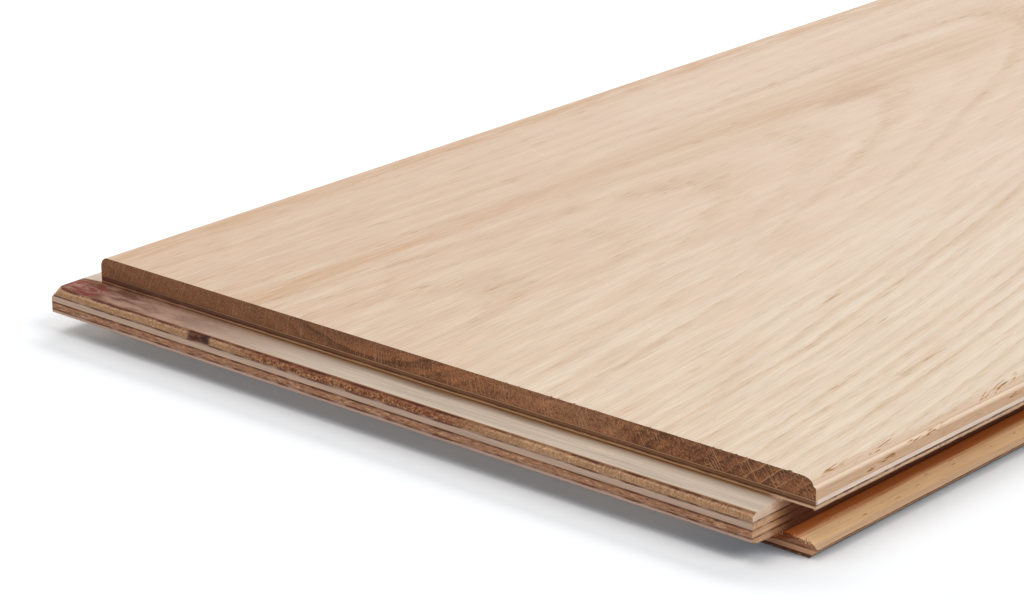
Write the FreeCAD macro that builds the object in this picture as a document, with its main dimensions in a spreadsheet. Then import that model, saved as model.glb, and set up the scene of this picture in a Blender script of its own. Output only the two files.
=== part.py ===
"""Engineered oak floorboard, 16 x 180 x 1200 mm, tongued and grooved on four sides.

A solid oak wear layer is glued on nine-ply hardwood plywood. The sheets are glued up
oversize, and the blank is then milled all round: a tongue on one long side and one end,
the matching groove on the other long side and the other end.

Axes: X across the board, Y along it, Z up. The origin is on the underside, in the middle
of the box that the whole board fills, tongues included. The tongues are on the -X side
and the -Y end. Every depth is measured down from the oak's face.
"""
import FreeCAD, Part
import Sketcher
import os

CORE_PLIES = 7
FACE_PLIES = 2

# Driving dimensions, in millimetres
SIZES = {
    # face of the board
    "face_width": 180.0,
    "face_length": 1200.0,
    # layers
    "oak_thickness": 4.0,
    "plywood_thickness": 12.0,
    "face_ply": 0.8,
    # waste that is milled off round the glued-up sheets
    "sheet_allowance": 6.0,
    # bevel along both long edges of the oak
    "bevel_width": 2.5,
    "bevel_drop": 1.8,
    "bevel_rounding": 2.5,
    # tongue, which tapers to its nose
    "tongue_reach": 7.3,
    "tongue_drop": 5.7,
    "tongue_root": 6.9,
    "tongue_top_taper": 0.5,
    "tongue_under_taper": 0.6,
    "nose_length": 1.1,
    "nose_top": 0.55,
    "nose_under": 0.4,
    # edge below the tongue, set back so that the faces close tight
    "shoulder_setback": 1.0,
    "shoulder_undercut": 0.9,
    # corner where the two tongues' noses meet, eased so that it finds the next board's groove
    "corner_ease_reach": 3.4,
    "corner_ease_drop": 2.2,
    # room that the groove leaves round the tongue
    "groove_end_room": 0.56,
    "groove_top_room": 0.1,
    "groove_under_room": 0.3,
    # lower lip of the groove
    "lip_short": 0.3,
    "lip_nose_run": 0.7,
    "lip_nose_drop": 0.9,
    "lip_undercut": 2.2,
}

doc = FreeCAD.newDocument("floorboard")
sheet = doc.addObject("Spreadsheet::Sheet", "Sizes")
for row, (alias, value) in enumerate(SIZES.items(), start=1):
    sheet.set("A%d" % row, alias)
    sheet.set("B%d" % row, str(value))
    sheet.setAlias("B%d" % row, alias)
doc.recompute()


def size(alias):
    """A cell's name as an expression reads it."""
    return "Sizes." + alias


THICKNESS = "(Sizes.oak_thickness + Sizes.plywood_thickness)"
OVERALL_WIDTH = "(Sizes.face_width + Sizes.tongue_reach)"
OVERALL_LENGTH = "(Sizes.face_length + Sizes.tongue_reach)"
CORE_PLY = "((Sizes.plywood_thickness - %d * Sizes.face_ply) / %d)" % (FACE_PLIES, CORE_PLIES)


def edge_profile(face_size, bevelled):
    """Corner points of the milled section across one pair of opposite edges.

    Each point is (distance from the tongue's nose, depth below the face) in expressions,
    round the section from the tongue side's face corner. A bevelled pair has two points
    at each of its face corners, and a square-cut pair one.
    """
    near = size("tongue_reach")
    far = "(Sizes.tongue_reach + %s)" % face_size
    nose_back = size("nose_length")
    tongue_under = "(Sizes.tongue_drop + Sizes.tongue_root)"
    nose_top = "(Sizes.tongue_drop + Sizes.tongue_top_taper)"
    nose_under = "(%s - Sizes.tongue_under_taper)" % tongue_under
    groove_back = "(%s - Sizes.tongue_reach - Sizes.groove_end_room)" % far
    lip_tip = "(%s - Sizes.lip_short)" % far
    mouth_under = "(%s + Sizes.groove_under_room)" % tongue_under

    near_corner = [(near, "0")]
    far_corner = [(far, "0")]
    if bevelled:
        near_corner = [(near, size("bevel_drop")), (near + " + Sizes.bevel_width", "0")]
        far_corner = [(far + " - Sizes.bevel_width", "0"), (far, size("bevel_drop"))]

    groove = [
        (far, "Sizes.tongue_drop - Sizes.groove_top_room"),
        (groove_back, "Sizes.tongue_drop - Sizes.groove_top_room"),
        (groove_back, nose_under + " + Sizes.groove_under_room"),
        (lip_tip + " - Sizes.lip_nose_run", mouth_under),
        (lip_tip, mouth_under + " + Sizes.lip_nose_drop"),
        (lip_tip + " - Sizes.lip_undercut", THICKNESS),
    ]
    tongue = [
        (near + " + Sizes.shoulder_setback + Sizes.shoulder_undercut", THICKNESS),
        (near + " + Sizes.shoulder_setback", tongue_under),
        (nose_back, nose_under),
        ("0", nose_under + " - Sizes.nose_under"),
        ("0", nose_top + " + Sizes.nose_top"),
        (nose_back, nose_top),
        (near, size("tongue_drop")),
    ]
    return near_corner + far_corner + groove + tongue


def value_of(expression):
    """The number that an expression of the sheet's cells comes to."""
    return float(sheet.evalExpression(expression))


def section_sketch(body, name, plane_role, points):
    """A closed sketch through the points, each held to its place by the sheet."""
    plane = [f for f in body.Origin.OriginFeatures if f.Role == plane_role][0]
    sketch = body.newObject("Sketcher::SketchObject", name)
    sketch.AttachmentSupport = [(plane, "")]
    sketch.MapMode = "FlatFace"
    count = len(points)
    places = [FreeCAD.Vector(value_of(along), value_of(THICKNESS) - value_of(depth), 0)
              for along, depth in points]
    for index in range(count):
        sketch.addGeometry(Part.LineSegment(places[index], places[(index + 1) % count]), False)
    for index in range(count):
        sketch.addConstraint(
            Sketcher.Constraint("Coincident", index, 2, (index + 1) % count, 1))
    for index, (along, depth) in enumerate(points):
        across = sketch.addConstraint(
            Sketcher.Constraint("DistanceX", index, 1, places[index].x))
        height = sketch.addConstraint(
            Sketcher.Constraint("DistanceY", index, 1, places[index].y))
        sketch.setExpression("Constraints[%d]" % across, along)
        sketch.setExpression("Constraints[%d]" % height, "%s - (%s)" % (THICKNESS, depth))
    return sketch


def milled_length(name, plane_role, points, length):
    """The section run straight through, as the cutters leave it."""
    body = doc.addObject("PartDesign::Body", name)
    sketch = section_sketch(body, name + "_section", plane_role, points)
    pad = body.newObject("PartDesign::Pad", name + "_run")
    pad.Profile = sketch
    pad.setExpression("Length", length)
    pad.Reversed = plane_role == "XZ_Plane"
    doc.recompute()
    return body


long_run = milled_length("long_edges", "XZ_Plane", edge_profile(size("face_width"), True),
                         OVERALL_LENGTH)
end_run = milled_length("ends", "YZ_Plane", edge_profile(size("face_length"), False),
                        OVERALL_WIDTH)


def bevel_edges(shape):
    """The four edges that the two bevels make with the face and with the sides."""
    face_height = value_of(THICKNESS)
    bevel_foot = face_height - value_of(size("bevel_drop"))
    left = value_of(size("tongue_reach"))
    right = left + value_of(size("face_width"))
    bevel_in = value_of(size("bevel_width"))
    wanted = [(left, bevel_foot), (left + bevel_in, face_height),
              (right - bevel_in, face_height), (right, bevel_foot)]
    names = []
    for number, edge in enumerate(shape.Edges, start=1):
        box = edge.BoundBox
        for across, height in wanted:
            runs_along = box.YLength > box.XLength + box.ZLength
            if runs_along and abs(box.XMin - across) < 0.001 and abs(box.ZMin - height) < 0.001:
                names.append("Edge%d" % number)
    return names


straight_run = long_run.Tip
rounding = long_run.newObject("PartDesign::Fillet", "bevel_rounding")
rounding.Base = (straight_run, bevel_edges(straight_run.Shape))
rounding.setExpression("Radius", size("bevel_rounding"))
doc.recompute()


# The space under a sloping plane that takes off the tongues' upper corner. It leans back
# from the noses, from corner_ease_drop under the tongue's top to corner_ease_reach behind
corner_ease = doc.addObject("Part::Cylinder", "corner_ease")
corner_ease.Radius = 4000
corner_ease.Height = 4000
corner_ease.Placement = FreeCAD.Placement(
    FreeCAD.Vector(0, 0, 0), FreeCAD.Rotation(FreeCAD.Vector(-1, 1, 0), 135))
corner_ease.setExpression(
    "Placement.Base.z", "%s - Sizes.tongue_drop - Sizes.tongue_top_taper"
    " - Sizes.corner_ease_drop" % THICKNESS)
corner_ease.setExpression(
    "Placement.Rotation.Angle",
    "180 deg - atan(sqrt(2) * Sizes.corner_ease_drop / Sizes.corner_ease_reach)")


def glued_layer(label, depth, thickness):
    """One layer of the glued-up blank, milled to both runs and set in the board's frame."""
    blank = doc.addObject("Part::Box", label + "_sheet")
    blank.setExpression("Length", "%s + 2 * Sizes.sheet_allowance" % OVERALL_WIDTH)
    blank.setExpression("Width", "%s + 2 * Sizes.sheet_allowance" % OVERALL_LENGTH)
    blank.setExpression("Height", thickness)
    blank.setExpression("Placement.Base.x", "-Sizes.sheet_allowance")
    blank.setExpression("Placement.Base.y", "-Sizes.sheet_allowance")
    blank.setExpression("Placement.Base.z", "%s - (%s) - %s" % (THICKNESS, depth, thickness))
    layer = doc.addObject("Part::MultiCommon", label)
    layer.Shapes = [blank, long_run, end_run, corner_ease]
    layer.setExpression("Placement.Base.x", "-%s / 2" % OVERALL_WIDTH)
    layer.setExpression("Placement.Base.y", "-%s / 2" % OVERALL_LENGTH)
    layer.Label = label
    return layer


# The layers from the face down: oak, a thin face ply, seven core plies, a thin back ply
layers = [glued_layer("oak_wear_layer", "0", size("oak_thickness"))]
layers.append(glued_layer("ply_1_face", size("oak_thickness"), size("face_ply")))
for ply in range(CORE_PLIES):
    ply_depth = "Sizes.oak_thickness + Sizes.face_ply + %d * %s" % (ply, CORE_PLY)
    layers.append(glued_layer("ply_%d_core" % (ply + 2), ply_depth, CORE_PLY))
back_depth = "%s - Sizes.face_ply" % THICKNESS
layers.append(glued_layer("ply_%d_back" % (CORE_PLIES + FACE_PLIES), back_depth,
                          size("face_ply")))
doc.recompute()

for item in doc.Objects:
    if "Invalid" in item.State or "Error" in item.State:
        raise RuntimeError("%s did not build: %s" % (item.Label, item.State))
for layer in layers:
    if layer.Shape.isNull() or not layer.Shape.isValid() or len(layer.Shape.Solids) != 1:
        raise RuntimeError("%s is not one sound solid" % layer.Label)

os.makedirs("parts", exist_ok=True)
for layer in layers:
    layer.Shape.exportStep("parts/%s.step" % layer.Label)
    box = layer.Shape.BoundBox
    print("%-15s x %8.3f %8.3f  y %8.3f %8.3f  z %6.3f %6.3f  volume %.0f" % (
        layer.Label, box.XMin, box.XMax, box.YMin, box.YMax, box.ZMin, box.ZMax,
        layer.Shape.Volume))
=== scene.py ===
"""An engineered oak floorboard on a white studio floor, seen from its near right corner.

The oak is modelled again here with its fine moulded edges, and every ply keeps its solid.
A ragged strip along the groove's mouth and a few torn fibres are added. Patterns work in
board millimetres, counted from the near right corner of the oak's face: x is negative to
the left, y grows along the board and z is negative downwards.
"""
import math
import random
from functools import partial

import bpy
from mathutils import Matrix, Vector


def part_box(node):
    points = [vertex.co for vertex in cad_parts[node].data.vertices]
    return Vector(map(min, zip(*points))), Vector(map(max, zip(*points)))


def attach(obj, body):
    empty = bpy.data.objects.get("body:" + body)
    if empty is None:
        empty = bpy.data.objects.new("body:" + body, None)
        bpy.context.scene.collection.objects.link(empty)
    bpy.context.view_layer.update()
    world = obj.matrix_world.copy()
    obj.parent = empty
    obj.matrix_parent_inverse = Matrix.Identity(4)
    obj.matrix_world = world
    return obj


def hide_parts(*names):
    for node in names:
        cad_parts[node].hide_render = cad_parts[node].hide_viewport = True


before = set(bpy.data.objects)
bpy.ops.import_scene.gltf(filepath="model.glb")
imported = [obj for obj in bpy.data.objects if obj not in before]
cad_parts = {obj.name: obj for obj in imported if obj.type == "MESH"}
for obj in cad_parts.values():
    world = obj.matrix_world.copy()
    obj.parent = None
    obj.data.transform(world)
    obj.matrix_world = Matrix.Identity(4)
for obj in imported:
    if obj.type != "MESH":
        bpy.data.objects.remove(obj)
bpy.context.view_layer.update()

# A millimetre in the scene's metres
MM = 0.001

oak_low, oak_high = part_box("oak_wear_layer")
NEAR_RIGHT_CORNER = Vector((oak_high.x, oak_low.y, oak_high.z))
FACE_WIDTH = (oak_high.x - oak_low.x) / MM
FACE_LENGTH = (oak_high.y - oak_low.y) / MM
OAK_DEPTH = (oak_high.z - oak_low.z) / MM


def board_point(x, y, z):
    """A place in board millimetres, as a point of the scene."""
    return NEAR_RIGHT_CORNER + Vector((x, y, z)) * MM


def linear_colour(code):
    """An sRGB hex colour as the linear values that shaders take."""
    channels = [int(code[i:i + 2], 16) / 255 for i in (1, 3, 5)]
    return [c / 12.92 if c <= 0.04045 else ((c + 0.055) / 1.055) ** 2.4 for c in channels] + [1]


def add_node(tree, kind, inputs=(), **settings):
    """Adds a node, sets its properties and fills its inputs, listed in order or by name.

    An input that is another node's output is linked, and a hex colour is turned linear.
    The node's first live output comes back.
    """
    node = tree.nodes.new("ShaderNode" + kind)
    for name, value in settings.items():
        setattr(node, name, value)
    live = [socket for socket in node.inputs if socket.enabled]
    if isinstance(inputs, dict):
        pairs = [(node.inputs[name], value) for name, value in inputs.items()]
    else:
        pairs = list(zip(live, inputs))
    for socket, value in pairs:
        if isinstance(value, bpy.types.NodeSocket):
            tree.links.new(value, socket)
        elif isinstance(value, str):
            socket.default_value = linear_colour(value)[:len(socket.default_value)]
        else:
            socket.default_value = value
    return next((socket for socket in node.outputs if socket.enabled), None)


def start_material(name):
    """An empty material, and a short way to add nodes to it."""
    material = bpy.data.materials.new(name)
    material.use_nodes = True
    material.node_tree.nodes.clear()
    return material, partial(add_node, material.node_tree)


def board_millimetres(put):
    """Each point's place in board millimetres, whole and as its X, Y and Z."""
    shift = [-value / MM for value in NEAR_RIGHT_CORNER]
    place = put("Mapping", {"Vector": put("TexCoord").node.outputs["Object"],
                            "Location": shift, "Scale": (1 / MM, 1 / MM, 1 / MM)})
    return place, put("SeparateXYZ", [place]).node.outputs


def facing(put, axis, low, high):
    """1 on faces that look along that axis, either way, and 0 on those that don't.

    low and high are the normal's size along the axis where the step starts and ends.
    """
    normal = put("SeparateXYZ", [put("TexCoord").node.outputs["Normal"]]).node.outputs
    size = put("Math", [normal[axis]], operation="ABSOLUTE")
    return step_between(put, size, low, high)


def level_faces(put):
    """1 on faces that lie level or nearly so, such as the tongue's top."""
    return facing(put, "Z", 0.93, 0.985)


def at_near_end(put, parts):
    """1 on the tongue and the wall at the board's near end, and 0 behind them."""
    return step_between(put, parts["Y"], 0.2, 0.8, 1.0, 0.0)


def blotches(put, place, size, detail, shift=0.0):
    """A soft random pattern from 0 to 1 whose blotches have that size in millimetres."""
    scaled = put("Mapping", {"Vector": place, "Location": (shift, shift, shift),
                             "Scale": [1 / value for value in size]})
    return put("TexNoise", {"Vector": scaled, "Scale": 1.0, "Detail": detail, "Roughness": 0.6})


def step_between(put, value, low, high, bottom=0.0, top=1.0):
    """A smooth step of value: bottom below low, top above high."""
    return put("MapRange", [value, low, high, bottom, top], interpolation_type="SMOOTHSTEP")


def multiply_add(put, value, gain, base):
    """The value times the gain, plus the base."""
    return put("Math", [value, gain, base], operation="MULTIPLY_ADD")


def times(put, *values):
    """The product of several values."""
    product = values[0]
    for value in values[1:]:
        product = put("Math", [product, value], operation="MULTIPLY")
    return product


def tint(put, colour, other, amount):
    """The colour, turned into the other one by that amount."""
    return put("Mix", [amount, colour, other], data_type="RGBA")


def shade(put, colour, pattern, depth):
    """The colour, made lighter and darker by up to depth by a pattern from 0 to 1."""
    gain = put("MapRange", [pattern, 0.25, 0.75, 1 - depth, 1 + depth])
    return put("VectorMath", {"Vector": colour, "Scale": gain}, operation="SCALE")


def widen(put, pattern, gain):
    """A pattern from 0 to 1 with its swing about the middle made that much larger."""
    swing = put("Math", [pattern, 0.5], operation="SUBTRACT")
    return multiply_add(put, swing, gain, 0.5)


def spot(put, parts, soft=1.0, **places):
    """1 inside a rounded spot and 0 outside it, by X, Y and Z as (middle, reach).

    It fades over that soft share of the squared way from its middle to its rim.
    """
    total = 0.0
    for axis, (middle, reach) in places.items():
        offset = put("Math", [parts[axis], middle], operation="SUBTRACT")
        share = put("Math", [offset, reach], operation="DIVIDE")
        total = multiply_add(put, share, share, total)
    return step_between(put, total, 1.0 - soft, 1.0, 1.0, 0.0)


def finish_wood(put, colour, roughness, relief, depth):
    """A matt wood surface of that colour, with a relief of that depth in millimetres."""
    bump = put("Bump", {"Strength": 1.0, "Distance": depth * MM, "Height": relief})
    surface = put("BsdfPrincipled", {"Base Color": colour, "Roughness": roughness,
                                     "Specular IOR Level": 0.3, "Normal": bump})
    put("OutputMaterial", {"Surface": surface})


# The oak's growth rings: arches on the face, that point along the board and swing left.
# Their heart's place across the near end, its swing and its height off the face
HEART_X = -106.0
HEART_SWING = 43.8
HEART_HEIGHT = 38.0
# How fast their reach grows along the board and downwards, a ring's width, and the share of
# a ring that the count starts with
ARCH_RISE = 0.085
RING_DIP = 1.1
RING_WIDTH = 3.4
RING_SHIFT = 0.63
# The rays fan out on the cut end from a point this far above the face
RAY_HEIGHT = 120.0


def heart_of_rings(put, parts):
    """Where the middle of the rings lies across the board, which swings to the left."""
    turn = times(put, parts["Y"], 2 * math.pi / FACE_LENGTH)
    swing = put("Math", [turn], operation="COSINE")
    return multiply_add(put, swing, HEART_SWING, HEART_X - HEART_SWING)


def along_fibres(put, parts, heart):
    """The place counted along the fibres, which lean after the rings by the grooved edge."""
    lean = put("Math", [HEART_X, heart], operation="SUBTRACT")
    lean = multiply_add(put, parts["Y"], ARCH_RISE, lean)
    share = step_between(put, parts["X"], -140.0, -40.0)
    across = multiply_add(put, lean, share, parts["X"])
    return put("CombineXYZ", [across, parts["Y"], parts["Z"]])


def oak_rings(put, place, parts, heart):
    """The count of growth rings at each point, which grows outwards from the heart."""
    wander = blotches(put, place, (30.0, 160.0, 30.0), 3.0)
    wander = put("MapRange", [wander, 0.0, 1.0, -3.0, 3.0])
    bent = put("Math", [parts["X"], wander], operation="ADD")
    across = put("Math", [bent, heart], operation="SUBTRACT")
    square = multiply_add(put, across, across, HEART_HEIGHT ** 2)
    reach = put("Math", [square], operation="SQRT")
    reach = multiply_add(put, parts["Y"], ARCH_RISE, reach)
    reach = multiply_add(put, parts["Z"], -RING_DIP, reach)
    rings = multiply_add(put, reach, 1 / RING_WIDTH, RING_SHIFT)
    uneven = blotches(put, place, (4.0, 35.0, 4.0), 3.0, shift=3.7)
    return multiply_add(put, uneven, 0.4, rings)


def ring_lines(put, rings, rise, fall):
    """A line at the start of each ring, some rings' stronger than others'."""
    inside = put("Math", [rings], operation="FRACT")
    chance = put("TexWhiteNoise", {"W": put("Math", [rings], operation="FLOOR")},
                 noise_dimensions="1D")
    strength = step_between(put, chance, 0.0, 1.0, 0.35, 1.0)
    return times(put, step_between(put, inside, 0.0, rise),
                 step_between(put, inside, rise, fall, 1.0, 0.0), strength)


# Golden checks in the oak by its grooved edge: the middle's X, Y and Z, and half the
# length and half the width
CHECKS = ((-0.6, 17.0, -0.2, 7.5, 0.9), (-1.3, 7.5, -0.3, 4.5, 0.8), (0.0, 21.0, -2.7, 4.0, 0.5),
          (0.0, 32.0, -1.7, 8.5, 0.65), (0.0, 16.0, -3.3, 3.0, 0.4),
          (-1.0, 57.0, -0.2, 11.0, 0.9), (0.0, 60.5, -2.6, 4.5, 0.5), (-15.0, 24.5, 0.0, 7.0, 0.35),
          (-18.5, 57.0, 0.0, 13.0, 0.35), (-23.0, 37.0, 0.0, 5.0, 0.35),
          (-25.0, 50.0, 0.0, 7.0, 0.35), (-13.6, 76.5, 0.0, 5.0, 0.35),
          (-37.0, 71.0, 0.0, 5.0, 0.35), (-45.0, 81.0, 0.0, 9.0, 0.35),
          (-52.0, 76.0, 0.0, 9.0, 0.35), (-2.5, 84.0, -0.3, 13.0, 0.9),
          (0.0, 96.0, -2.2, 7.0, 0.5), (-1.6, 118.0, -0.3, 10.0, 0.9))
# How far a check moves to the left for each millimetre along the board
CHECK_LEAN = 0.09
# Its outline frays: it reaches further where the fibres' pattern is below CHECK_FIBRES
CHECK_FRAY = 6.0
CHECK_FIBRES = 0.4


def oak_checks(put, place, parts, colour):
    """Short ragged checks: a golden haze with thin dark splits in it."""
    slanted = multiply_add(put, parts["Y"], CHECK_LEAN, parts["X"])
    splits = blotches(put, place, (0.25, 9.0, 0.25), 1.0, shift=7.1)
    # The fibres break each check's outline into streaks
    frayed = multiply_add(put, splits, CHECK_FRAY, -CHECK_FRAY * CHECK_FIBRES)
    inside = 0.0
    for x, y, z, reach, width in CHECKS:
        total = frayed
        for value, middle, size in ((slanted, x + CHECK_LEAN * y, width),
                                    (parts["Y"], y, reach), (parts["Z"], z, width)):
            offset = put("Math", [value, middle], operation="SUBTRACT")
            share = put("Math", [offset, size], operation="DIVIDE")
            total = multiply_add(put, share, share, total)
        near = step_between(put, total, 0.0, 1.0, 1.0, 0.0)
        inside = put("Math", [inside, near], operation="MAXIMUM")
    haze = step_between(put, inside, 0.0, 0.4)
    # On the open face they are fainter
    strength = step_between(put, parts["X"], -9.0, -5.0, 0.5, 1.0)
    colour = tint(put, colour, "#CB9550", times(put, haze, strength, 0.75))
    dark = times(put, step_between(put, inside, 0.5, 0.95),
                 step_between(put, splits, CHECK_FIBRES, 0.46, 1.0, 0.0), strength)
    return tint(put, colour, "#754A24", times(put, dark, 0.75))


def oak_face_marks(put, place, parts, colour):
    """The streaks and patch that this board has, where it has them."""
    broken = blotches(put, place, (0.7, 14.0, 0.7), 3.0, shift=6.1)
    golden = times(put, spot(put, parts, X=(-137.6, 3.6), Y=(-5.0, 130.0)),
                   step_between(put, broken, 0.32, 0.62, 0.12, 0.62))
    colour = tint(put, colour, "#CDA37A", golden)
    # Further along, that streak spreads into a broad brown zone
    stripes = blotches(put, place, (1.4, 50.0, 1.4), 3.0, shift=8.8)
    brown = times(put, spot(put, parts, X=(-138.0, 12.0), Y=(185.0, 130.0)),
                  step_between(put, stripes, 0.3, 0.7, 0.1, 0.5))
    colour = tint(put, colour, "#CFAB84", brown)
    patch = times(put, spot(put, parts, X=(-131.5, 3.5), Y=(192.0, 16.0)),
                  step_between(put, broken, 0.3, 0.65, 0.05, 0.4))
    colour = tint(put, colour, "#B98F6A", patch)
    # The far edge has a warm brown line along it
    edge = times(put, spot(put, parts, X=(-175.5, 3.6)), step_between(put, broken, 0.35, 0.6))
    return tint(put, colour, "#CFA377", times(put, edge, 0.5))


def face_lines(put, place, parts, rings):
    """The ring lines on the face, each a fringe of pores 0.5 mm wide and 6 mm long."""
    fringe = blotches(put, place, (0.5, 6.0, 0.5), 2.0, shift=4.6)
    fringed = multiply_add(put, fringe, 0.55, rings)
    patch = blotches(put, place, (9.0, 60.0, 9.0), 2.0, shift=0.4)
    patch = step_between(put, patch, 0.3, 0.7, 0.4, 1.0)
    # Between the arches and the grooved edge the lines are faint
    faint = multiply_add(put, spot(put, parts, X=(-80.0, 24.0)), -0.4, 1.0)
    return times(put, ring_lines(put, fringed, 0.2, 0.8), patch, faint)


def face_ground(put, place, parts):
    """The plain face: pinker by the tongue and creamier by the groove. Painted light leaves it
    darkest by its near end and paler further along.
    """
    streaks = blotches(put, place, (1.5, 60.0, 1.5), 3.0)
    flush = blotches(put, place, (4.0, 32.0, 4.0), 2.0, shift=7.7)
    across = multiply_add(put, parts["Y"], -0.2, parts["X"])
    pink = step_between(put, across, -170.0, 0.0, 1.0, 0.0)
    pink = multiply_add(put, streaks, 0.8, pink)
    pink = multiply_add(put, flush, 2.0, pink)
    pink = step_between(put, pink, 1.2, 2.6)
    near = tint(put, "#E8D4BD", "#DDBFA5", pink)
    far = tint(put, "#EBDBC7", "#E5CCB7", pink)
    # Painted light: the face grows paler and lighter along the board
    return tint(put, near, far, step_between(put, parts["Y"], -40.0, 210.0))


def oak_face(put, place, parts, rings):
    """Pale sanded face: soft ring lines, fine fibre streaks and short open pores."""
    line = face_lines(put, place, parts, rings)
    clear = step_between(put, parts["X"], -90.0, -50.0, 0.38, 0.62)
    colour = tint(put, face_ground(put, place, parts), "#CEAC88", times(put, line, clear))

    # Fibres 0.35 mm wide stand out by the near end, and melt together further along
    crisp = step_between(put, parts["Y"], 0.0, 150.0, 1.3, 0.75)
    fibres = widen(put, blotches(put, place, (0.35, 16.0, 0.35), 4.0, shift=2.1), crisp)
    colour = shade(put, colour, fibres, 0.07)
    warm = step_between(put, fibres, 0.15, 0.45, 0.18, 0.0)
    colour = tint(put, colour, "#C99C72", warm)
    # Short silky flecks, and broad faint bands along the board
    silver = blotches(put, place, (0.6, 9.0, 0.6), 3.0, shift=9.4)
    colour = shade(put, colour, widen(put, silver, crisp), 0.05)
    bands = blotches(put, place, (4.5, 190.0, 4.5), 2.0, shift=5.2)
    colour = shade(put, colour, bands, 0.025)

    # Pores are 0.3 mm wide and show as thin golden-brown dashes up to 8 mm long
    dashes = blotches(put, place, (0.3, 8.0, 0.3), 1.0)
    plain = step_between(put, parts["X"], -85.0, -50.0, 0.1, 0.06)
    share = multiply_add(put, line, 0.8, plain)
    pores = times(put, step_between(put, dashes, 0.59, 0.7), share)
    colour = tint(put, colour, "#AC7740", times(put, pores, 0.8))
    return oak_face_marks(put, place, parts, colour), pores


def oak_moulding(put, place, parts, colour):
    """The moulded edge and the square side below it: a warmer tan, with pinker streaks and a
    painted highlight on the small step.
    """
    below_face = step_between(put, parts["Z"], -1.4, -0.05, 1.0, 0.0)
    colour = tint(put, colour, "#E0B288", times(put, below_face, 0.8))
    silky = blotches(put, place, (0.5, 14.0, 0.3), 3.0, shift=1.1)
    pinker = times(put, step_between(put, silky, 0.5, 0.7), below_face, 0.7)
    colour = tint(put, colour, "#E2BFA6", pinker)
    browner = times(put, step_between(put, silky, 0.3, 0.48, 1.0, 0.0), below_face, 0.6)
    colour = tint(put, colour, "#BC926C", browner)
    # Painted highlight: the small step and the riser over it are made paler, as light falls on them
    riser = spot(put, parts, Z=(-1.45, 0.85))
    return tint(put, colour, "#F6DFC6", times(put, riser, 0.72))


def end_ground(put, parts, fan):
    """The cut end's plain wood, darker in its left third and towards the groove."""
    mottle = blotches(put, fan, (7.0, 60.0, 1.6), 2.0, shift=1.2)
    colour = tint(put, "#A26842", "#7D4B2C", step_between(put, mottle, 0.35, 0.65))
    colour = tint(put, "#825435", colour, step_between(put, parts["X"], -125.0, -88.0, 0.2, 1.0))
    colour = tint(put, colour, "#6B3B24", step_between(put, parts["X"], -48.0, -30.0, 0.0, 0.35))
    return tint(put, colour, "#B78A6C", times(put, spot(put, parts, X=(-57.0, 22.0)), 0.22))


def end_rings(put, parts, rings, colour):
    """The rings, which show under the heart and, slanted, by the grooved edge."""
    under_heart = step_between(put, parts["X"], -134.0, -116.0, 0.25, 1.0)
    clear = multiply_add(put, spot(put, parts, X=(-64.0, 26.0)), -0.8, under_heart)
    bands = times(put, ring_lines(put, rings, 0.07, 0.9), clear)
    colour = tint(put, colour, "#4A2816", times(put, bands, 0.75))
    # By the groove some rings end in a pale rim, and two of these rims are bright
    inside = put("Math", [rings], operation="FRACT")
    bright = multiply_add(put, spot(put, parts, soft=0.6, X=(-10.5, 5.5)), 0.55, 0.2)
    rim = times(put, step_between(put, inside, 0.84, 0.98),
                step_between(put, parts["X"], -30.0, -18.0), bright)
    return tint(put, colour, "#C58F68", rim)


def oak_end(put, parts, rings):
    """Dark cut end: slanting rings, each darkest where it starts, with pale rays across."""
    depth = put("Math", [RAY_HEIGHT, parts["Z"]], operation="SUBTRACT")
    away = put("Math", [parts["X"], HEART_X], operation="SUBTRACT")
    fan = times(put, put("Math", [away, depth], operation="DIVIDE"), RAY_HEIGHT)
    fan = put("CombineXYZ", [fan, parts["Y"], parts["Z"]])
    colour = end_rings(put, parts, rings, end_ground(put, parts, fan))

    # Rays are 0.3 mm wide and stand about 3 mm apart
    rays = blotches(put, fan, (0.5, 30.0, 14.0), 1.0)
    strength = step_between(put, parts["X"], -60.0, -20.0, 0.42, 0.65)
    rays = times(put, step_between(put, rays, 0.57, 0.66), strength,
                 step_between(put, parts["X"], -140.0, -110.0, 0.55, 1.0))
    colour = tint(put, colour, "#BE906C", rays)
    # The grain is torn open, less so in the left third, which was cut cleaner
    open_grain = step_between(put, parts["X"], -125.0, -80.0, 0.5, 1.0)
    grain = blotches(put, fan, (0.3, 6.0, 0.42), 2.0, shift=8.2)
    pale = times(put, step_between(put, grain, 0.52, 0.7), open_grain, 0.65)
    colour = tint(put, colour, "#C4935F", pale)
    dark = times(put, step_between(put, grain, 0.3, 0.47, 1.0, 0.0), open_grain, 0.8)
    colour = tint(put, colour, "#3C1F10", dark)
    # Soot and glue from the cutter darken the foot of the oak
    foot = step_between(put, parts["Z"], -4.0, -3.6, 0.25, 0.0)
    return tint(put, colour, "#3A2013", foot), grain


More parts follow.
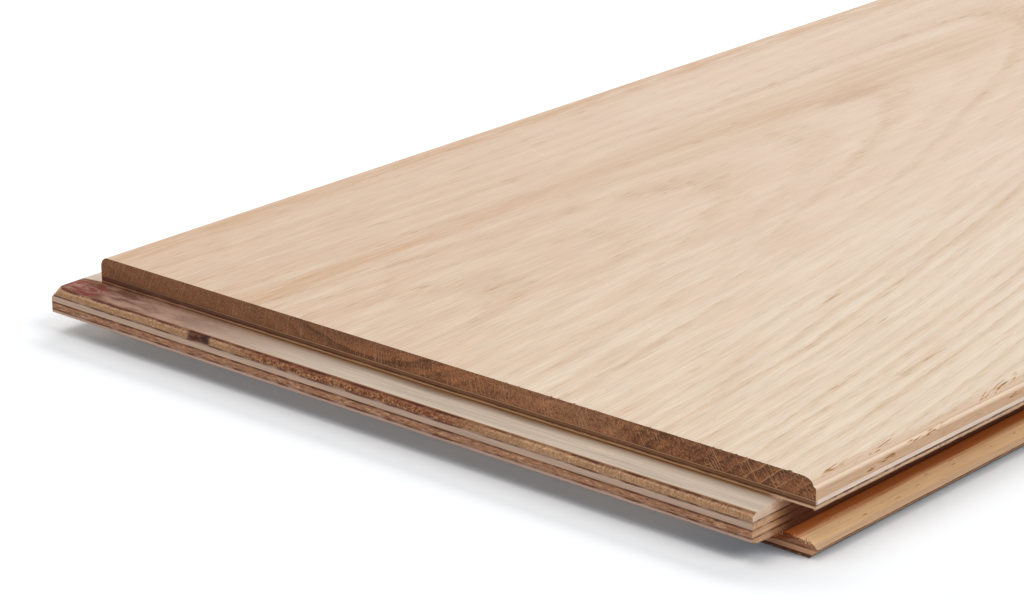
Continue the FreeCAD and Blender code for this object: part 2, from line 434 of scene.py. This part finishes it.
def sanded_oak():
    """Flat-sawn oak, planed and fine-sanded, left without oil: pale, matt and warm.

    The early wood of each ring is a line of open pores, dashes on the face and dots on the
    cut end. The end drinks the light and is much darker.
    """
    material, put = start_material("oak, flat-sawn and fine-sanded")
    place, parts = board_millimetres(put)
    heart = heart_of_rings(put, parts)
    rings = oak_rings(put, place, parts, heart)
    fibres = along_fibres(put, parts, heart)
    face, pores = oak_face(put, fibres, parts, rings)
    face = oak_moulding(put, fibres, parts, face)
    face = oak_checks(put, fibres, parts, face)
    end, grain = oak_end(put, parts, rings)
    # The saw left the arris a little ragged by the groove: there wood up to 0.3 mm behind
    # it shows as end grain
    nick = blotches(put, place, (0.8, 9.0, 9.0), 2.0, shift=3.3)
    reach = step_between(put, nick, 0.45, 0.7, -1.0, 0.4)
    ragged = step_between(put, parts["X"], -78.0, -66.0)
    nicked = times(put, put("Math", [parts["Y"], reach], operation="LESS_THAN"), ragged)
    is_end = put("Math", [facing(put, "Y", 0.75, 0.95), nicked], operation="MAXIMUM")
    colour = tint(put, face, end, is_end)
    relief = multiply_add(put, pores, -0.3, 0.5)
    relief = multiply_add(put, grain, is_end, relief)
    finish_wood(put, colour, 0.6, relief, 0.1)
    return material


# How far a glue seam wavers up and down and how far its edge frays
SEAM_WAVER = 0.36
SEAM_FRAY = 0.16


def glue_line(put, place, parts, top, width):
    """1 on the thin seam of hardened glue at a ply's top, which wavers and frays."""
    waver = blotches(put, place, (5.0, 5.0, 40.0), 3.0)
    level = multiply_add(put, waver, SEAM_WAVER, parts["Z"])
    frayed = blotches(put, place, (0.5, 0.5, 0.5), 2.0, shift=4.0)
    level = multiply_add(put, frayed, SEAM_FRAY, level)
    # Both patterns are about a half on average, so the level is moved up by half of each
    below = put("Math", [top + (SEAM_WAVER + SEAM_FRAY) / 2, level], operation="SUBTRACT")
    seam = step_between(put, below, 0.55 * width, width, 1.0, 0.0)
    strength = step_between(put, blotches(put, place, (5.0, 5.0, 30.0), 2.0, shift=1.5),
                            0.35, 0.6, 0.45, 1.0)
    return times(put, seam, strength)


# Each veneer: its fibres' direction; its colour on a milled wall along the fibres, on a
# level milled face and on a cut across the fibres; and, for that cut, the width and height
# in mm of the bundles that it shows and how torn it is
VENEERS = {
    "ply_1_face": ("Y", "#FFE8D6", "#E9D9CB", "#845A3A", 0.8, 0.3, 0.3),
    "ply_2_core": ("X", "#AE8259", "#DCCAB6", "#F2D8C2", 1.1, 0.35, 0.3),
    "ply_3_core": ("Y", "#F2D5BD", "#E2C8AC", "#B38762", 0.4, 0.3, 0.75),
    "ply_4_core": ("X", "#C6A893", "#D6BCA2", "#DFB28C", 0.5, 0.6, 0.7),
    "ply_5_core": ("Y", "#E5B68F", "#DDB48F", "#AB7A5C", 1.3, 0.28, 0.9),
    "ply_6_core": ("X", "#C4A28E", "#A98A72", "#DCAD88", 0.5, 0.6, 0.9),
    # Ply 7's level colour is paler than its wood: painted light from the right on the lower lip's
    # top
    "ply_7_core": ("Y", "#DAB28C", "#FFD5A2", "#9C6B50", 0.5, 0.3, 0.5),
    "ply_8_core": ("X", "#CC9B78", "#CDB090", "#C69A78", 0.9, 0.4, 0.6),
    "ply_9_back": ("Y", "#C9B29C", "#D6C2AC", "#6E4A38", 0.8, 0.3, 0.8),
}


# The level of the tongue's top and, a little over it, of the groove's
TONGUE_TOP = -5.7
GROOVE_TOP = -5.6


def wine_stain(put, place, parts, colour):
    """Old stain that the end tongue's cut shows: red at its corner, then purple-brown."""
    cut = at_near_end(put, parts)
    wall = times(put, step_between(put, parts["Z"], TONGUE_TOP - 0.05, TONGUE_TOP + 0.1), cut)
    cloud = blotches(put, place, (6.0, 1.8, 3.0), 3.0, shift=4.4)
    wash = step_between(put, parts["X"], -174.0, -98.0, 0.8, 0.0)
    colour = tint(put, colour, "#AF7C66", times(put, wash, cut))
    purple = step_between(put, parts["X"], -180.0, -126.0, 0.95, 0.0)
    purple = times(put, purple, step_between(put, cloud, 0.36, 0.62, 0.1, 1.0), cut)
    # The stain's purple deepens towards the wall, partly painted shade of the corner there
    purple = times(put, purple, step_between(put, parts["Y"], -6.0, -1.5, 0.7, 1.0))
    colour = tint(put, colour, "#633529", purple)
    # The wall over the tongue is darker towards its left end, most of all up by the oak
    dark = times(put, step_between(put, parts["X"], -140.0, -95.0, 0.72, 0.0),
                 step_between(put, parts["Z"], -5.0, -4.7, 0.4, 1.0))
    colour = tint(put, colour, "#452010", times(put, dark, wall))
    drops = blotches(put, place, (3.2, 1.2, 3.0), 3.0, shift=2.2)
    red = times(put, spot(put, parts, soft=0.7, X=(-182.0, 8.5), Y=(-4.0, 5.5)),
                step_between(put, drops, 0.4, 0.58, 0.25, 1.0))
    colour = tint(put, colour, "#7E261C", times(put, red, 0.82))
    line = spot(put, parts, soft=0.6, X=(-184.0, 4.6), Y=(0.1, 0.35))
    return tint(put, colour, "#4A2A20", times(put, line, 0.8))


# The level lines on the wall under the oak's end, by height, colour and reach, and how far they
# waver. The cutter left the upper ones; the lowest, at the wall's foot, is painted shade in its
# corner with the tongue
WALL_WAVER = 0.2
WALL_LINES = ((-4.1, "#B28E6E", 0.17), (-4.38, "#6A4834", 0.13), (-4.6, "#7E5C44", 0.12),
              (-4.86, "#3A1E10", 0.24), (-5.26, "#C49C74", 0.22), (-5.62, "#50290F", 0.24))


def end_wall(put, place, parts, colour):
    """The wall under the oak's end, with fine level lines, the stain at its corner, and painted
    shade along the tongue at its foot.
    """
    colour = wine_stain(put, place, parts, colour)
    at_end = at_near_end(put, parts)
    clean = step_between(put, parts["X"], -176.0, -120.0, 0.5, 1.0)
    wander = blotches(put, place, (30.0, 30.0, 30.0), 2.0, shift=6.4)
    level = multiply_add(put, wander, WALL_WAVER, parts["Z"])
    for height, line_colour, reach in WALL_LINES:
        offset = put("Math", [level, height + WALL_WAVER / 2], operation="SUBTRACT")
        offset = put("Math", [offset], operation="ABSOLUTE")
        near = times(put, step_between(put, offset, 0.0, reach, 0.8, 0.0), at_end, clean)
        colour = tint(put, colour, line_colour, near)
    # Painted shade darkens the tongue's top in the corner that the wall makes with it, and thins
    # out over 3 mm
    corner_shade = put("Math", [step_between(put, parts["Y"], -0.8, -0.05, 0.0, 0.55),
                        step_between(put, parts["Y"], -2.8, -0.6, 0.0, 0.33)], operation="ADD")
    on_tongue = step_between(put, parts["Z"], TONGUE_TOP, TONGUE_TOP + 0.1, 1.0, 0.0)
    corner_shade = times(put, corner_shade, on_tongue, at_end, clean)
    colour = tint(put, colour, "#93683F", corner_shade)
    # Over the groove only a pale splintered edge is left of it
    over_groove = times(put, step_between(put, parts["X"], -10.5, -8.0),
                        step_between(put, level, -5.2, -5.05, 1.0, 0.0),
                        step_between(put, parts["Y"], -0.4, -0.1), at_end)
    return tint(put, colour, "#DBB595", times(put, over_groove, 0.85))


def groove_mouth(put, place, parts, colour):
    """The ply over the groove's mouth: golden-brown along the board, and torn."""
    along_side = times(put, step_between(put, parts["X"], -1.5, -0.8),
                       step_between(put, parts["Y"], 0.3, 0.8))
    torn = blotches(put, place, (0.4, 1.6, 0.35), 2.0, shift=5.1)
    colour = tint(put, colour, "#DDAC82", times(put, along_side, 0.65))
    torn = times(put, along_side, step_between(put, torn, 0.34, 0.46, 0.45, 0.0))
    colour = tint(put, colour, "#6A4028", torn)
    return end_wall(put, place, parts, colour)


def knot_and_tear(put, place, parts, colour):
    """A small dark knot in the tongue's nose, and beside it a long rough reddish stretch."""
    edge = blotches(put, place, (1.5, 1.5, 1.0), 2.0, shift=6.6)
    stretch = times(put, step_between(put, parts["X"], -138.0, -126.0),
                    step_between(put, parts["X"], -84.0, -60.0, 1.0, 0.0))
    rough = times(put, stretch, step_between(put, edge, 0.25, 0.6, 0.45, 0.9))
    colour = tint(put, colour, "#7C3E20", rough)
    flakes = blotches(put, place, (0.5, 3.0, 0.35), 2.0, shift=9.1)
    low = step_between(put, parts["Z"], -7.1, -6.5, 1.0, 0.3)
    golden = times(put, stretch, step_between(put, flakes, 0.52, 0.64), low)
    colour = tint(put, colour, "#D9A26A", times(put, golden, 0.7))
    torn = times(put, stretch, step_between(put, flakes, 0.34, 0.46, 1.0, 0.0), low)
    colour = tint(put, colour, "#3F1D10", times(put, torn, 0.85))
    # By its right end the cutter's marks cross the veneer as fine stitches
    stitches = blotches(put, place, (0.3, 3.0, 2.5), 1.0, shift=6.3)
    stitches = times(put, step_between(put, parts["X"], -78.0, -58.0),
                     step_between(put, stitches, 0.52, 0.62))
    colour = tint(put, colour, "#D8B48C", times(put, stitches, 0.3))
    knot = times(put, spot(put, parts, soft=0.6, X=(-144.2, 3.6), Y=(-7.0, 9.0)),
                 step_between(put, edge, 0.35, 0.6, 0.75, 1.0))
    colour = tint(put, colour, "#4A1A0A", knot)
    rim = spot(put, parts, soft=0.9, X=(-142.3, 1.5), Z=(-7.0, 1.1))
    colour = tint(put, colour, "#241009", times(put, rim, 0.7))
    return groove_wall(put, place, parts, colour)


def groove_wall(put, place, parts, colour):
    """The groove's back wall at X -7.9: golden at its end, and further in darkened by painted shade
    of the upper lip.
    """
    frayed = blotches(put, place, (2.0, 2.0, 0.6), 2.0, shift=2.9)
    ragged = multiply_add(put, frayed, 3.0, parts["Y"])
    by_wall = times(put, step_between(put, parts["X"], -8.7, -8.3),
                    step_between(put, parts["X"], -7.75, -7.3, 1.0, 0.0))
    golden = step_between(put, ragged, -1.5, 1.5)
    colour = tint(put, colour, "#B9773C", times(put, golden, by_wall, 0.55))
    # Painted shade: the upper lip's shadow darkens the wall further into the groove
    dark = step_between(put, ragged, 0.5, 6.0)
    return tint(put, colour, "#5E2A16", times(put, dark, by_wall, 0.85))


def lower_lip_colour_and_shade(put, place, parts, colour):
    """The lower lip's veneer: red-brown at the groove's back, burnt and with painted shade of the
    upper lip, and pale at its tip.
    """
    streaks = blotches(put, place, (0.6, 30.0, 0.6), 2.0, shift=3.9)
    ragged = multiply_add(put, streaks, 2.0, parts["X"])
    # Painted shade under the upper lip, on top of the cutter's burn, reddens and darkens the lip
    # towards the groove's back
    burn_and_shade = step_between(put, ragged, -4.9, -2.7, 0.95, 0.0)
    inside = step_between(put, parts["X"], -30.0, -10.0)
    is_level = level_faces(put)
    colour = tint(put, colour, "#BF6626", times(put, burn_and_shade, inside, is_level))
    flecks = blotches(put, place, (0.7, 4.0, 0.7), 1.0, shift=5.7)
    colour = tint(put, colour, "#8A5228", step_between(put, flecks, 0.68, 0.76, 0.0, 0.5))
    # At the board's end the cutter tore it
    frayed = blotches(put, place, (0.2, 2.5, 0.8), 3.0, shift=4.9)
    frayed = multiply_add(put, frayed, -2.2, parts["Y"])
    torn = times(put, step_between(put, frayed, 0.2, 0.5, 1.0, 0.0), inside, is_level)
    colour = tint(put, colour, "#5C2E18", times(put, torn, 0.85))
    return groove_wall(put, place, parts, colour)


# What a veneer shows besides its grain and glue
VENEER_MARKS = {"ply_1_face": end_wall, "ply_2_core": groove_mouth,
                "ply_3_core": knot_and_tear, "ply_4_core": groove_wall,
                "ply_5_core": groove_wall, "ply_6_core": groove_wall,
                "ply_7_core": lower_lip_colour_and_shade}


def veneer_cut(put, place, colour, grit, tear):
    """A cut across the fibres: the sheet's own thin layers and, across them, torn bundles."""
    layers = blotches(put, place, (9.0, 9.0, 0.16), 2.0, shift=3.6)
    mottle = blotches(put, place, (4.0, 4.0, 0.9), 2.0, shift=1.8)
    colour = shade(put, colour, mottle, 0.15)
    colour = shade(put, colour, layers, 0.2)
    dark = step_between(put, grit, 0.3, 0.47, 0.8 * tear, 0.0)
    colour = tint(put, colour, "#4A2818", dark)
    pale = step_between(put, grit, 0.55, 0.7, 0.0, 0.65 * tear)
    return tint(put, colour, "#EDC79C", pale)


def veneer_seam(put, place, parts, ply, is_level, is_end):
    """The glue seam at a ply's top, which shows on upright faces, and its colour."""
    top = (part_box(ply)[1].z - NEAR_RIGHT_CORNER.z) / MM
    upright = put("Math", [1.0, is_level], operation="SUBTRACT")
    if ply == "ply_3_core":
        # This seam runs along the tongue's nose, where the glue is redder and thinner
        seam = glue_line(put, place, parts, top, 0.3)
        return times(put, seam, upright, is_end, 0.92), "#4C1B0F"
    seam = glue_line(put, place, parts, top, 0.48)
    return times(put, seam, upright, 0.9), "#582C16"


def milled_veneer(ply):
    """Rotary-cut hardwood veneer in plywood, its edges milled and left raw.

    Along its fibres it is pale and silky with faint streaks. Across them it is browner and
    coarse, with torn fibre ends. Hardened glue shows as thin dark lines.
    """
    fibre, wall_colour, level_colour, end_colour, bundle, bundle_height, tear = VENEERS[ply]
    material, put = start_material(ply + ", rotary-cut veneer")
    place, parts = board_millimetres(put)
    turned = fibre == "X"
    streak_size = (16.0, 0.35, 0.25) if turned else (0.35, 16.0, 0.25)
    band_size = (80.0, 2.2, 0.8) if turned else (2.2, 80.0, 0.8)
    grit_size = (2.0, bundle, bundle_height) if turned else (bundle, 2.0, bundle_height)

    streaks = blotches(put, place, streak_size, 3.0)
    bands = blotches(put, place, band_size, 2.0, shift=2.7)
    is_level = level_faces(put)
    side = tint(put, wall_colour, level_colour, is_level)
    side = shade(put, side, bands, 0.11)
    side = shade(put, side, streaks, 0.19)

    grit = blotches(put, place, grit_size, 3.0)
    end = veneer_cut(put, place, end_colour, grit, tear)
    is_end = facing(put, fibre, 0.15, 0.35)
    colour = tint(put, side, end, is_end)
    if ply in VENEER_MARKS:
        colour = VENEER_MARKS[ply](put, place, parts, colour)
    seam = 0.0
    if ply != "ply_1_face":
        seam, glue_colour = veneer_seam(put, place, parts, ply, is_level, is_end)
        colour = tint(put, colour, glue_colour, seam)

    relief = times(put, grit, is_end, tear)
    relief = multiply_add(put, streaks, 0.3, relief)
    relief = multiply_add(put, seam, -0.5, relief)
    finish_wood(put, colour, 0.75, relief, 0.2)
    return material


# How far outside its range a selected element may lie, in millimetres
SLACK = 0.01


def board_range(piece, element, axis):
    """The element's lowest and highest place along an axis, in board millimetres."""
    corners = [element] if hasattr(element, "co") else [
        piece.data.vertices[i] for i in element.vertices]
    places = [(corner.co[axis] - NEAR_RIGHT_CORNER[axis]) / MM for corner in corners]
    return min(places), max(places)


def select_within(piece, kind, x=None, y=None, z=None):
    """In edit mode, selects what lies wholly within the ranges, in board millimetres.

    kind is VERT, EDGE or FACE. A single number stands for that place alone.
    """
    bpy.ops.mesh.select_mode(type=kind)
    bpy.ops.mesh.select_all(action="DESELECT")
    bpy.ops.object.mode_set(mode="OBJECT")
    mesh = piece.data
    elements = {"VERT": mesh.vertices, "EDGE": mesh.edges, "FACE": mesh.polygons}[kind]
    for element in elements:
        inside = True
        for axis, limits in enumerate((x, y, z)):
            if limits is not None:
                low, high = limits if isinstance(limits, tuple) else (limits, limits)
                least, most = board_range(piece, element, axis)
                inside = inside and least > low - SLACK and most < high + SLACK
        element.select = inside
    bpy.ops.object.mode_set(mode="EDIT")


def add_block(name, low, high):
    """A new block between two corners in board millimetres, left in edit mode."""
    bpy.ops.object.select_all(action="DESELECT")
    corners = board_point(*low), board_point(*high)
    bpy.ops.mesh.primitive_cube_add(size=1, scale=corners[1] - corners[0],
                                    location=(corners[0] + corners[1]) / 2)
    block = bpy.context.object
    block.name = name
    bpy.ops.object.transform_apply(location=True, rotation=True, scale=True)
    bpy.ops.object.mode_set(mode="EDIT")
    return block


def close_mesh(piece, angle):
    """Leaves edit mode with all faces outwards, and smooths edges blunter than the angle."""
    bpy.ops.mesh.select_all(action="SELECT")
    bpy.ops.mesh.normals_make_consistent(inside=False)
    bpy.ops.object.mode_set(mode="OBJECT")
    bpy.ops.object.select_all(action="DESELECT")
    piece.select_set(True)
    bpy.context.view_layer.objects.active = piece
    bpy.ops.object.shade_smooth_by_angle(angle=math.radians(angle))


# The oak's long edges. By the groove it has a flat round-over, a riser, and a small step to
# the side; by the tongue it has a plain rounded arris. Its near arris is barely eased
ROUND_WIDTH = 2.6
ROUND_DEPTH = 1.4
STEP_WIDTH = 0.62
RISER_FOOT = 1.5
STEP_SLOPE = 0.2
STEP_ARRIS = 0.3
TONGUE_SIDE_ROUND = 2.1
NEAR_EASE = 0.2


def moulded_oak():
    """The oak layer: a planed block, rounded over by the tongue and stepped by the groove."""
    # The block starts tall, so that squashing it turns a round edge into a flatter one
    stretch = ROUND_WIDTH / ROUND_DEPTH
    riser = -STEP_WIDTH
    oak = add_block("oak_wear_layer_moulded", (-FACE_WIDTH, 0, -OAK_DEPTH * stretch),
                    (riser, FACE_LENGTH, 0))
    select_within(oak, "EDGE", x=riser, z=0)
    bpy.ops.mesh.bevel(offset=ROUND_WIDTH * MM, segments=12, profile=0.5, affect="EDGES")
    bpy.ops.mesh.select_all(action="SELECT")
    bpy.ops.transform.resize(value=(1, 1, 1 / stretch),
                             center_override=(0, 0, NEAR_RIGHT_CORNER.z))
    select_within(oak, "EDGE", x=-FACE_WIDTH, z=0)
    bpy.ops.mesh.bevel(offset=TONGUE_SIDE_ROUND * MM, segments=10, profile=0.5, affect="EDGES")
    select_within(oak, "EDGE", y=0, z=0)
    bpy.ops.mesh.bevel(offset=NEAR_EASE * MM, segments=1, affect="EDGES")
    bpy.ops.mesh.select_all(action="SELECT")
    bpy.ops.mesh.bisect(plane_co=board_point(0, 0, -RISER_FOOT), plane_no=(0, 0, 1),
                        threshold=0.001 * MM)

    # The step below the round-over, its top sloping out to a small rounded arris
    select_within(oak, "FACE", x=riser, z=(-OAK_DEPTH, -RISER_FOOT))
    bpy.ops.mesh.extrude_region_move(
        TRANSFORM_OT_translate={"value": (STEP_WIDTH * MM, 0, 0)})
    select_within(oak, "VERT", x=0, z=-RISER_FOOT)
    bpy.ops.transform.translate(value=(0, 0, -STEP_SLOPE * MM))
    select_within(oak, "EDGE", x=0, z=-RISER_FOOT - STEP_SLOPE)
    bpy.ops.mesh.bevel(offset=STEP_ARRIS * MM, segments=4, profile=0.5, affect="EDGES")
    close_mesh(oak, 25)
    return oak


# The torn strip under the ply over the groove: where its back and front lie across the
# board, how far it stays off the board's ends, how deep it is rooted in the ply, how far it
# hangs down and how ragged its foot is
FRINGE_BACK = -0.45
FRINGE_FRONT = -0.1
FRINGE_INSET = 0.05
FRINGE_ROOT = 0.02
FRINGE_DROP = 0.24
FRINGE_RAGGED = 0.09
# It is cut across in two rounds, to pieces 1.5 mm long
FRINGE_CUTS = (80, 9)


def groove_mouth_fringe():
    """A thin ragged strip that the cutter left hanging along the groove's mouth."""
    foot = GROOVE_TOP - FRINGE_DROP
    fringe = add_block("groove_mouth_fringe", (FRINGE_BACK, FRINGE_INSET, foot),
                       (FRINGE_FRONT, FACE_LENGTH - FRINGE_INSET, GROOVE_TOP + FRINGE_ROOT))
    for cuts in FRINGE_CUTS:
        bpy.ops.mesh.select_mode(type="EDGE")
        bpy.ops.mesh.select_all(action="DESELECT")
        bpy.ops.object.mode_set(mode="OBJECT")
        for edge in fringe.data.edges:
            # Only an edge along the board is longer than a millimetre
            low, high = board_range(fringe, edge, 1)
            edge.select = high - low > 1.0
        bpy.ops.object.mode_set(mode="EDIT")
        bpy.ops.mesh.subdivide(number_cuts=cuts)
    select_within(fringe, "VERT", z=foot)
    bpy.ops.transform.vertex_random(offset=FRINGE_RAGGED * MM, seed=5)
    close_mesh(fringe, 30)
    fringe.data.materials.append(torn_wood("veneer, torn edge", "#B98F6C"))
    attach(fringe, "root")


# Fibres that the cutters tore up: where each tuft is rooted, how far its roots spread along
# X, how many fibres it has, and which way they stand
TUFTS = {
    "oak_torn_fibres": (((-58.5, -0.02, -0.6), 3.0, 3, (0.5, -1.0, -0.05)),
                        ((-52.0, -0.02, -0.6), 0.6, 2, (-0.6, -1.0, -0.1)),
                        ((-42.0, -0.02, -0.65), 1.6, 4, (0.8, -1.0, 0.0)),
                        ((-36.0, -0.02, -0.65), 1.2, 4, (0.9, -1.0, -0.1))),
    "ply_torn_fibres": (((-7.5, 0.3, -12.4), 0.5, 7, (0.0, -0.3, 1.0)),
                        ((-5.0, 1.1, -12.72), 1.8, 6, (0.1, -0.6, 0.8)),
                        ((-1.9, 1.1, -12.9), 0.9, 9, (0.1, -0.4, 1.0))),
}
FIBRE_WIDTH = 0.11
# A fibre grows in steps of this length, each leaning further and narrower than the last
FIBRE_RISE = 0.28
FIBRE_BENDS = ((0.02, 0.95), (0.06, 0.9), (0.12, 0.8), (0.2, 0.5))
# How far its way strays from its tuft's, and its size against the model's
FIBRE_STRAY = 0.35
FIBRE_SIZES = (0.6, 1.1)


def one_fibre():
    """A thin fibre, grown from a five-sided stub that bends and tapers as it is extruded."""
    bpy.ops.object.select_all(action="DESELECT")
    bpy.ops.mesh.primitive_cylinder_add(vertices=5, radius=FIBRE_WIDTH / 2 * MM,
                                        depth=FIBRE_RISE * MM,
                                        location=board_point(0, 0, -FIBRE_RISE / 2))
    fibre = bpy.context.object
    bpy.ops.object.transform_apply(location=True, rotation=True, scale=True)
    bpy.ops.object.mode_set(mode="EDIT")
    select_within(fibre, "FACE", z=0)
    middle = Vector((0, 0, 0))
    for lean, narrow in FIBRE_BENDS:
        step = Vector((lean, 0, FIBRE_RISE))
        middle += step
        bpy.ops.mesh.extrude_region_move(TRANSFORM_OT_translate={"value": step * MM})
        bpy.ops.transform.resize(value=(narrow, narrow, 1), center_override=board_point(*middle))
    close_mesh(fibre, 60)
    return fibre


def torn_fibres(name, tufts, model, chance):
    """The fibres of several tufts, each a copy with its own mesh, joined into one piece."""
    bpy.ops.object.select_all(action="DESELECT")
    for root, spread, count, lean in tufts:
        for _ in range(count):
            fibre = model.copy()
            fibre.data = model.data.copy()
            bpy.context.scene.collection.objects.link(fibre)
            stray = [chance.uniform(-FIBRE_STRAY, FIBRE_STRAY) for _ in range(3)]
            way = Vector(lean) + Vector(stray)
            turn = way.to_track_quat("Z", "X").to_matrix().to_4x4()
            spin = Matrix.Rotation(chance.uniform(0, 2 * math.pi), 4, "Z")
            size = Matrix.Scale(chance.uniform(*FIBRE_SIZES), 4)
            place = board_point(root[0] + chance.uniform(-spread, spread), root[1], root[2])
            fibre.data.transform(Matrix.Translation(place) @ turn @ spin @ size
                                 @ Matrix.Translation(-NEAR_RIGHT_CORNER))
            fibre.select_set(True)
            bpy.context.view_layer.objects.active = fibre
    bpy.ops.object.join()
    piece = bpy.context.object
    piece.name = name
    return piece


def torn_wood(name, colour):
    """Fibres torn loose from the wood: raw, straw-pale and a little silky."""
    material, put = start_material(name)
    place = board_millimetres(put)[0]
    streaks = blotches(put, place, (0.3, 0.3, 0.3), 2.0)
    finish_wood(put, shade(put, colour, streaks, 0.25), 0.65, streaks, 0.02)
    return material


def tear_the_cut_edges():
    """Torn fibres on the oak's near arris and round the groove's lip."""
    chance = random.Random(4)
    model = one_fibre()
    woods = {"oak_torn_fibres": ("oak", torn_wood("oak, torn fibres", "#BC8E68")),
             "ply_torn_fibres": ("plywood_across", torn_wood("veneer, torn fibres", "#D2A57E"))}
    for name, (slot, material) in woods.items():
        piece = torn_fibres(name, TUFTS[name], model, chance)
        piece.data.materials.clear()
        piece.data.materials.append(material)
        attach(piece, "root")
    bpy.data.objects.remove(model)


def lay_materials(oak):
    """Gives the oak and each ply its wood."""
    oak.data.materials.append(sanded_oak())
    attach(oak, "root")
    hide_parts("oak_wear_layer")
    for ply in VENEERS:
        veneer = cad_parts[ply]
        veneer.data.materials.clear()
        veneer.data.materials.append(milled_veneer(ply))


# The floor's size in metres, and how far in millimetres it lies below the board's underside
FLOOR_SIZE = 12
FLOOR_DROP = 0.05
# Its linear colours, in the open, close by the board and as the light that it throws back
FLOOR_OPEN = (1.06, 1.06, 1.06, 1)
FLOOR_HIDDEN = (0.8, 0.84, 0.865, 1)
FLOOR_BOUNCE = (0.74, 0.74, 0.74, 1)
# How far off, in millimetres, a piece still darkens the floor
HIDING_REACH = 30.0
GLOW_COLOUR = (0.0, 0.55, 1.0, 1)
GLOW_STRENGTH = 0.045


def studio_floor():
    """A matt white floor, a hair below the board's underside so that the two don't fight."""
    bpy.ops.object.select_all(action="DESELECT")
    bpy.ops.mesh.primitive_plane_add(size=FLOOR_SIZE, location=(0, 0, -FLOOR_DROP * MM))
    floor = bpy.context.object
    floor.name = "studio_floor"
    material, put = start_material("studio floor, matt white")
    rays = put("LightPath").node.outputs
    seen = put("Math", [rays["Is Camera Ray"], rays["Is Glossy Ray"]], operation="MAXIMUM")
    seen = put("Math", [seen, rays["Is Transmission Ray"]], operation="MAXIMUM")
    # The camera sees it white, a little darker where the board hides the sky from it, and it
    # lights the board as a pale grey floor would
    hiding = put("AmbientOcclusion", {"Distance": HIDING_REACH * MM}, samples=8)
    hidden = step_between(put, hiding.node.outputs["AO"], 0.2, 0.5, 1.0, 0.0)
    white = tint(put, FLOOR_OPEN, FLOOR_HIDDEN, hidden)
    paint = put("BsdfDiffuse", {"Color": tint(put, FLOOR_BOUNCE, white, seen)})
    # Light off the board's wood warms its shadow. A faint blue glow, which lights nothing,
    # evens that out to grey
    glow = put("Emission", {"Color": GLOW_COLOUR, "Strength": times(put, seen, GLOW_STRENGTH)})
    put("OutputMaterial", {"Surface": put("AddShader", [paint, glow])})
    floor.data.materials.append(material)


# The place that the lamps point to and their distance from it, in metres
LAMP_TARGET = (0.0, -0.5, 0.0)
LAMP_DISTANCE = 3.0
# Each softbox: degrees round from +X, degrees up, width and height in metres, watts
SOFTBOXES = {
    "overhead_softbox": (250, 72, 2.0, 2.0, 27.0),
    "side_softbox": (3, 42, 1.5, 1.5, 36.0),
    "rear_bank": (95, 45, 4.0, 1.2, 52.0),
    "front_fill": (270, 20, 1.6, 1.2, 26.0),
    "left_fill": (180, 20, 1.3, 1.3, 27.0),
}


def studio_light():
    """Five softboxes round the board, and a backdrop that only the camera sees white."""
    world = bpy.data.worlds.new("studio")
    bpy.context.scene.world = world
    world.use_nodes = True
    world.node_tree.nodes.clear()
    put = partial(add_node, world.node_tree)
    seen = put("LightPath").node.outputs["Is Camera Ray"]
    put("OutputWorld", {"Surface": put("Background", ["#FFFFFF", seen])})
    for name, (azimuth, elevation, width, height, watts) in SOFTBOXES.items():
        lamp = bpy.data.lights.new(name, "AREA")
        lamp.shape = "RECTANGLE"
        lamp.size, lamp.size_y = width, height
        lamp.energy = watts
        holder = bpy.data.objects.new(name, lamp)
        bpy.context.scene.collection.objects.link(holder)
        turn = Matrix.Rotation(math.radians(azimuth + 90), 4, "Z")
        tilt = Matrix.Rotation(math.radians(90 - elevation), 4, "X")
        away = Matrix.Translation((0, 0, LAMP_DISTANCE))
        holder.matrix_world = Matrix.Translation(LAMP_TARGET) @ turn @ tilt @ away


# The photo's camera: its lens and sensor in millimetres, its place and nearest view in
# metres, and its turn, tilt and roll in degrees
LENS = 118.2
SENSOR_WIDTH = 36.0
CAMERA_PLACE = (0.40375, -1.02495, 0.2378)
NEAREST_VIEW = 0.01
CAMERA_TURN = 41.466
CAMERA_TILT = 70.248
CAMERA_ROLL = -0.426


def photo_camera():
    """The camera that took the photo, worked out from the board's own edges."""
    data = bpy.data.cameras.new("photo_camera")
    data.lens = LENS
    data.sensor_width = SENSOR_WIDTH
    data.clip_start = NEAREST_VIEW
    camera = bpy.data.objects.new("photo_camera", data)
    bpy.context.scene.collection.objects.link(camera)
    turn = Matrix.Rotation(math.radians(CAMERA_TURN), 4, "Z")
    tilt = Matrix.Rotation(math.radians(CAMERA_TILT), 4, "X")
    roll = Matrix.Rotation(math.radians(CAMERA_ROLL), 4, "Z")
    camera.matrix_world = Matrix.Translation(CAMERA_PLACE) @ turn @ tilt @ roll
    bpy.context.scene.camera = camera


photo_camera()
studio_floor()
studio_light()
lay_materials(moulded_oak())
groove_mouth_fringe()
tear_the_cut_edges()
bpy.context.scene.view_settings.view_transform = "Standard"
